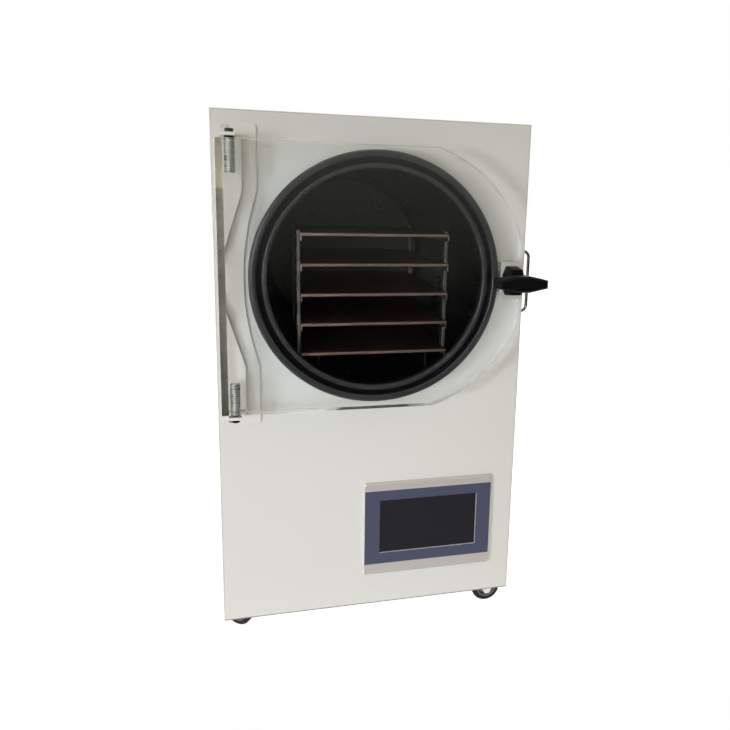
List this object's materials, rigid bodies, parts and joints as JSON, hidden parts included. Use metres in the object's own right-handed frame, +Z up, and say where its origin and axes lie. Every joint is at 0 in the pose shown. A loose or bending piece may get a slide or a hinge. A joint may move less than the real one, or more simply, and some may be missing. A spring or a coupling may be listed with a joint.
{
  "type": "freeze dryer",
  "caption": "Upright cabinet on swivel casters with a round vacuum chamber, a clear hinged door held by a wing knob, heated shelves and a touch panel.",
  "frame": {"origin": "on the floor, under the middle of the bounding box", "axes": "+Z up, +Y from the door to the rear, +X to the right of a person facing the door"},
  "size_m": [0.4894, 0.7622, 0.805],
  "materials": {
    "acrylic": "clear, polished",
    "bezel_plastic": "satin silver-beige",
    "black_plastic": "fine-grained black",
    "compressor_paint": "gloss black",
    "copper": "drawn copper",
    "fin_aluminium": "bare fins",
    "foam": "closed-cell foam, dark grey",
    "gasket_rubber": "smooth black",
    "grommet_rubber": "matt black",
    "heater_silicone": "matt red",
    "hub_plastic": "moulded grey",
    "lever_red": "dipped red",
    "overlay_blue": "satin blue-grey film",
    "painted_bracket": "satin powder coat, warm white",
    "painted_white": "satin powder coat, warm white",
    "polished_steel": "bright polished steel",
    "screen_glass": "dark display glass",
    "shelf_metal": "brushed, warm-tinted",
    "stainless": "satin stainless steel",
    "tyre_rubber": "dark rubber tread",
    "valve_brass": "cast brass",
    "zinc_steel": "zinc-plated steel"
  },
  "bodies": {
    "cabinet": {"base_tray": "painted_white", "front_panel": "painted_white", "side_panel_left": "painted_white", "side_panel_right": "painted_white", "top_panel": "painted_white", "rear_panel": "painted_white", "chamber_shell": "stainless", "chamber_gasket": "gasket_rubber", "chamber_insulation": "foam", "evaporator_coil": "copper", "vacuum_port": "stainless", "rack_posts": "stainless", "rack_rails": "stainless", "shelf_heaters": "heater_silicone", "hinge_bracket": "painted_bracket", "hinge_screws": "zinc_steel", "pivot_bolts": "polished_steel", "pivot_washers": "polished_steel", "catch_bracket": "stainless", "side_handle": "polished_steel", "hmi_bezel": "bezel_plastic", "hmi_overlay": "overlay_blue", "hmi_screen": "screen_glass", "hmi_housing": "black_plastic", "compressor": "compressor_paint", "compressor_feet": "grommet_rubber", "condenser_coil": "fin_aluminium", "filter_drier": "copper", "fan_shroud": "black_plastic", "electrical_box": "zinc_steel", "power_inlet": "black_plastic", "drain_valve": "valve_brass", "caster_plates": "zinc_steel", "caster_bolts": "zinc_steel", "shelf_plate_1": "shelf_metal", "shelf_plate_2": "shelf_metal", "shelf_plate_3": "shelf_metal", "shelf_plate_4": "shelf_metal", "shelf_plate_5": "shelf_metal"},
    "door": {"door_panel": "acrylic", "hinge_sleeves": "polished_steel", "clamp_saddle": "stainless"},
    "clamp": {"clamp_knob": "black_plastic", "clamp_stud": "zinc_steel", "stud_clip": "zinc_steel"},
    "drain_lever": {"drain_lever": "lever_red"},
    "power_switch": {"power_switch": "black_plastic"},
    "fan_rotor": {"fan_rotor": "black_plastic"},
    "fork_front_left": {"caster_fork_front_left": "zinc_steel"},
    "wheel_front_left": {"caster_hub_front_left": "hub_plastic", "caster_tyre_front_left": "tyre_rubber"},
    "fork_front_right": {"caster_fork_front_right": "zinc_steel"},
    "wheel_front_right": {"caster_hub_front_right": "hub_plastic", "caster_tyre_front_right": "tyre_rubber"},
    "fork_rear_left": {"caster_fork_rear_left": "zinc_steel"},
    "wheel_rear_left": {"caster_hub_rear_left": "hub_plastic", "caster_tyre_rear_left": "tyre_rubber"},
    "fork_rear_right": {"caster_fork_rear_right": "zinc_steel"},
    "wheel_rear_right": {"caster_hub_rear_right": "hub_plastic", "caster_tyre_rear_right": "tyre_rubber"}
  },
  "joints": [
    {"name": "door_swing", "type": "hinge", "parent": "cabinet", "child": "door", "pos_m": [-0.20933, -0.3212, 0.583], "axis": [0, 0, -1], "range_deg": [0, 180]},
    {"name": "clamp_knob_turn", "type": "hinge", "parent": "door", "child": "clamp", "pos_m": [0.17017, -0.3326, 0.583], "axis": [0, 1, 0], "continuous": true},
    {"name": "drain_lever_turn", "type": "hinge", "parent": "cabinet", "child": "drain_lever", "pos_m": [-0.01583, 0.3411, 0.484], "axis": [0, 0, 1], "range_deg": [0, 90]},
    {"name": "power_switch_rock", "type": "hinge", "parent": "cabinet", "child": "power_switch", "pos_m": [-0.16183, 0.3176, 0.198], "axis": [1, 0, 0], "range_deg": [0, 18]},
    {"name": "fan_spin", "type": "hinge", "parent": "cabinet", "child": "fan_rotor", "pos_m": [0.08317, 0.3074, 0.191], "axis": [0, 1, 0], "continuous": true},
    {"name": "swivel_front_left", "type": "hinge", "parent": "cabinet", "child": "fork_front_left", "pos_m": [-0.19883, -0.2159, 0.0554], "axis": [0, 0, 1], "continuous": true},
    {"name": "wheel_spin_front_left", "type": "hinge", "parent": "fork_front_left", "child": "wheel_front_left", "pos_m": [-0.21931, -0.20156, 0.025], "axis": [-0.5736, -0.8192, 0], "continuous": true},
    {"name": "swivel_front_right", "type": "hinge", "parent": "cabinet", "child": "fork_front_right", "pos_m": [0.17517, -0.2159, 0.0554], "axis": [0, 0, 1], "continuous": true},
    {"name": "wheel_spin_front_right", "type": "hinge", "parent": "fork_front_right", "child": "wheel_front_right", "pos_m": [0.20017, -0.2159, 0.025], "axis": [0, 1, 0], "continuous": true},
    {"name": "swivel_rear_left", "type": "hinge", "parent": "cabinet", "child": "fork_rear_left", "pos_m": [-0.19883, 0.2541, 0.0554], "axis": [0, 0, 1], "continuous": true},
    {"name": "wheel_spin_rear_left", "type": "hinge", "parent": "fork_rear_left", "child": "wheel_rear_left", "pos_m": [-0.19883, 0.2791, 0.025], "axis": [-1, 0, 0], "continuous": true},
    {"name": "swivel_rear_right", "type": "hinge", "parent": "cabinet", "child": "fork_rear_right", "pos_m": [0.17517, 0.2541, 0.0554], "axis": [0, 0, 1], "continuous": true},
    {"name": "wheel_spin_rear_right", "type": "hinge", "parent": "fork_rear_right", "child": "wheel_rear_right", "pos_m": [0.17517, 0.2791, 0.025], "axis": [-1, 0, 0], "continuous": true}
  ]
}
